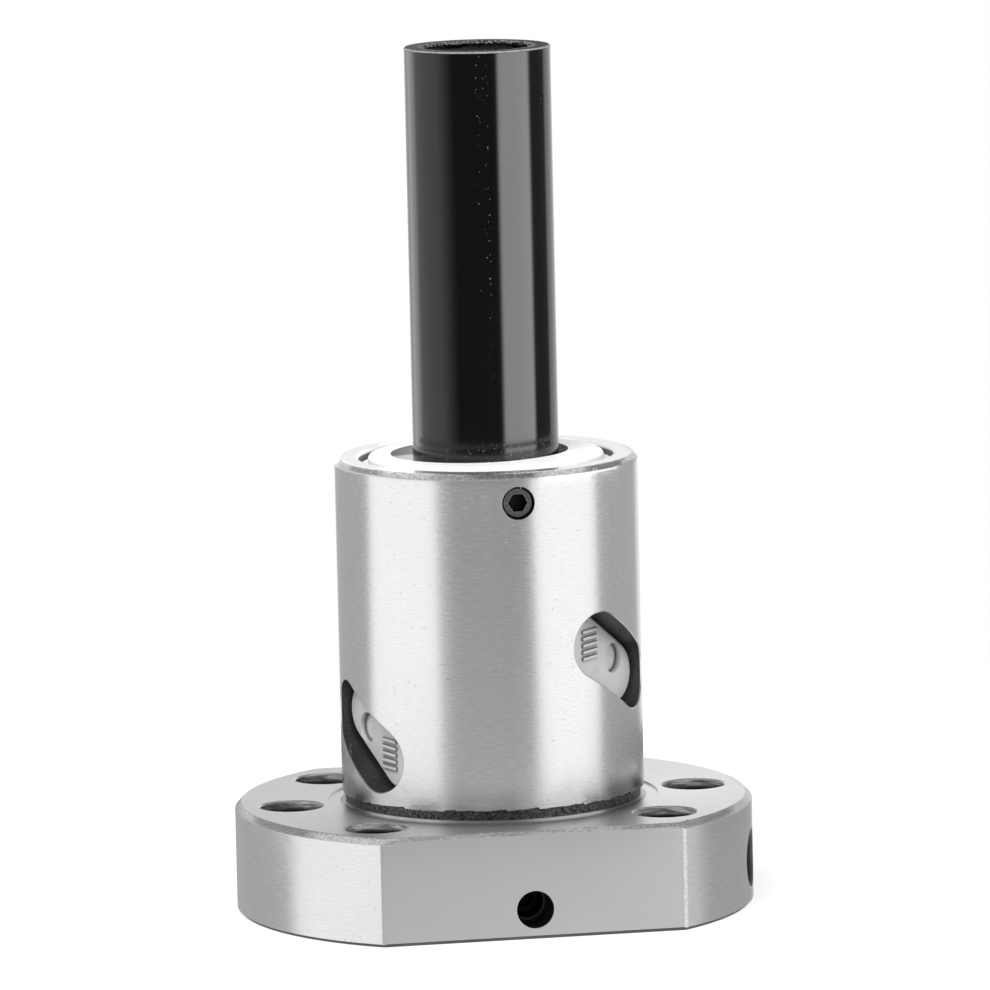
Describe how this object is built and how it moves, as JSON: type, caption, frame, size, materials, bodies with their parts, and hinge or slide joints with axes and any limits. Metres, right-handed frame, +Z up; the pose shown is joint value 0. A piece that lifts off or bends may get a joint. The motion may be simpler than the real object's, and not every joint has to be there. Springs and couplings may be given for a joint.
{
  "type": "ball screw nut",
  "caption": "Flanged ball screw nut with internal ball return caps, end wipers, a bolting flange with flats, an oil port and its assembly arbor.",
  "frame": {"origin": "centre of the flange's lower face, on the bore's axis", "axes": "+Z up the bore from the flange to the barrel's free end, -Y square to the front flat of the flange, +X to the right of it"},
  "size_m": [0.048, 0.039, 0.0798],
  "materials": {
    "ground_steel": "ground bearing steel, fine marks round the barrel",
    "cap_zinc": "die-cast, satin light grey",
    "ball_steel": "polished bearing balls",
    "white_plastic": "moulded white acetal, satin",
    "black_steel": "black oxide",
    "black_plastic": "extruded black plastic, semi-gloss"
  },
  "bodies": {
    "nut": {"nut_body": "ground_steel", "return_cap_1": "cap_zinc", "return_cap_2": "cap_zinc", "return_cap_3": "cap_zinc", "ball_1_01": "ball_steel", "ball_1_02": "ball_steel", "ball_1_03": "ball_steel", "ball_1_04": "ball_steel", "ball_1_05": "ball_steel", "ball_1_06": "ball_steel", "ball_1_07": "ball_steel", "ball_1_08": "ball_steel", "ball_1_09": "ball_steel", "ball_1_10": "ball_steel", "ball_1_11": "ball_steel", "ball_1_12": "ball_steel", "ball_1_13": "ball_steel", "ball_1_14": "ball_steel", "ball_1_15": "ball_steel", "ball_1_16": "ball_steel", "ball_1_17": "ball_steel", "ball_2_01": "ball_steel", "ball_2_02": "ball_steel", "ball_2_03": "ball_steel", "ball_2_04": "ball_steel", "ball_2_05": "ball_steel", "ball_2_06": "ball_steel", "ball_2_07": "ball_steel", "ball_2_08": "ball_steel", "ball_2_09": "ball_steel", "ball_2_10": "ball_steel", "ball_2_11": "ball_steel", "ball_2_12": "ball_steel", "ball_2_13": "ball_steel", "ball_2_14": "ball_steel", "ball_2_15": "ball_steel", "ball_2_16": "ball_steel", "ball_2_17": "ball_steel", "ball_3_01": "ball_steel", "ball_3_02": "ball_steel", "ball_3_03": "ball_steel", "ball_3_04": "ball_steel", "ball_3_05": "ball_steel", "ball_3_06": "ball_steel", "ball_3_07": "ball_steel", "ball_3_08": "ball_steel", "ball_3_09": "ball_steel", "ball_3_10": "ball_steel", "ball_3_11": "ball_steel", "ball_3_12": "ball_steel", "ball_3_13": "ball_steel", "ball_3_14": "ball_steel", "ball_3_15": "ball_steel", "ball_3_16": "ball_steel", "ball_3_17": "ball_steel", "wiper_top": "white_plastic", "wiper_bottom": "white_plastic", "set_screw_top": "black_steel", "set_screw_bottom": "black_steel"},
    "arbor": {"arbor_tube": "black_plastic"}
  },
  "joints": [
    {"name": "arbor_slide", "type": "slide", "parent": "nut", "child": "arbor", "axis": [0, 0, 1], "range_m": [0, 0.045]}
  ]
}
